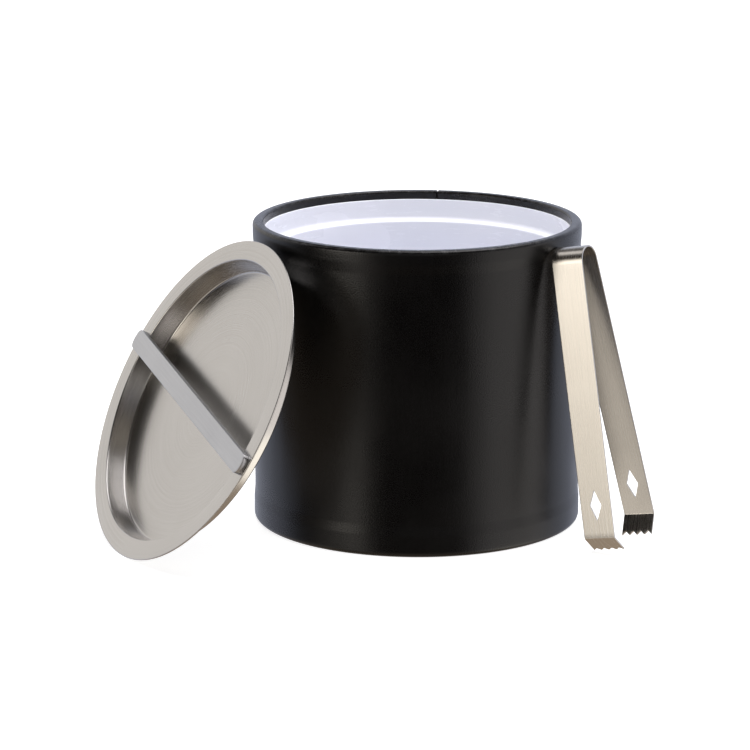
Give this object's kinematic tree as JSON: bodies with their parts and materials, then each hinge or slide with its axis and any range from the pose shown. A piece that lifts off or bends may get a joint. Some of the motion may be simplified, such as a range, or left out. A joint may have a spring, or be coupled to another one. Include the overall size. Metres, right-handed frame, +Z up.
{
  "type": "ice bucket",
  "caption": "Cylindrical insulated ice bucket in a leatherette wrap with a white liner, a flat dished metal lid with a strap handle leaning on one side and sprung claw tongs on the other.",
  "frame": {"origin": "centre of the bucket's base, on the surface it stands on", "axes": "+Z up along the bucket's axis; +X towards the tongs, -X towards the leaning lid, -Y towards the viewer"},
  "size_m": [0.3352, 0.2607, 0.1826],
  "materials": {
    "leatherette": "smooth black leatherette",
    "pressed_board": "raw pressed board",
    "base_leatherette": "smooth black leatherette",
    "liner_plastic": "glossy white moulding",
    "insulation": "expanded foam",
    "lid_steel": "fine concentric brushing",
    "strap_steel": "satin",
    "tongs_steel": "brushed lengthwise"
  },
  "bodies": {
    "bucket": {"leatherette_wrap": "leatherette", "core_wall": "pressed_board", "base_board": "pressed_board", "base_cover": "base_leatherette", "liner": "liner_plastic", "foam_sleeve": "insulation", "foam_disc": "insulation"},
    "lid": {"lid_pan": "lid_steel", "lid_strap": "strap_steel"},
    "tongs": {"tongs_bow": "tongs_steel"},
    "tongs_front": {"tongs_arm_front": "tongs_steel"},
    "tongs_back": {"tongs_arm_back": "tongs_steel"}
  },
  "joints": [
    {"name": "lid_lift", "type": "slide", "parent": "bucket", "child": "lid", "axis": [-0.7868, -0.4046, 0.4661], "range_m": [0, 0.25]},
    {"name": "tongs_lift", "type": "slide", "parent": "bucket", "child": "tongs", "axis": [0.3502, -0.2201, 0.9105], "range_m": [0, 0.25]},
    {"name": "front_arm_squeeze", "type": "hinge", "parent": "tongs", "child": "tongs_front", "pos_m": [0.09179, -0.06161, 0.169], "axis": [0.8491, -0.4976, 0.1771], "range_deg": [0, 5.9], "stiffness_Nm_per_rad": 3},
    {"name": "back_arm_squeeze", "type": "hinge", "parent": "tongs", "child": "tongs_back", "pos_m": [0.09179, -0.06161, 0.169], "axis": [-0.8491, 0.4976, -0.1771], "range_deg": [0, 5.9], "stiffness_Nm_per_rad": 3}
  ],
  "couplings": [
    {"joint": "back_arm_squeeze", "follows": "front_arm_squeeze", "ratio": 1}
  ]
}
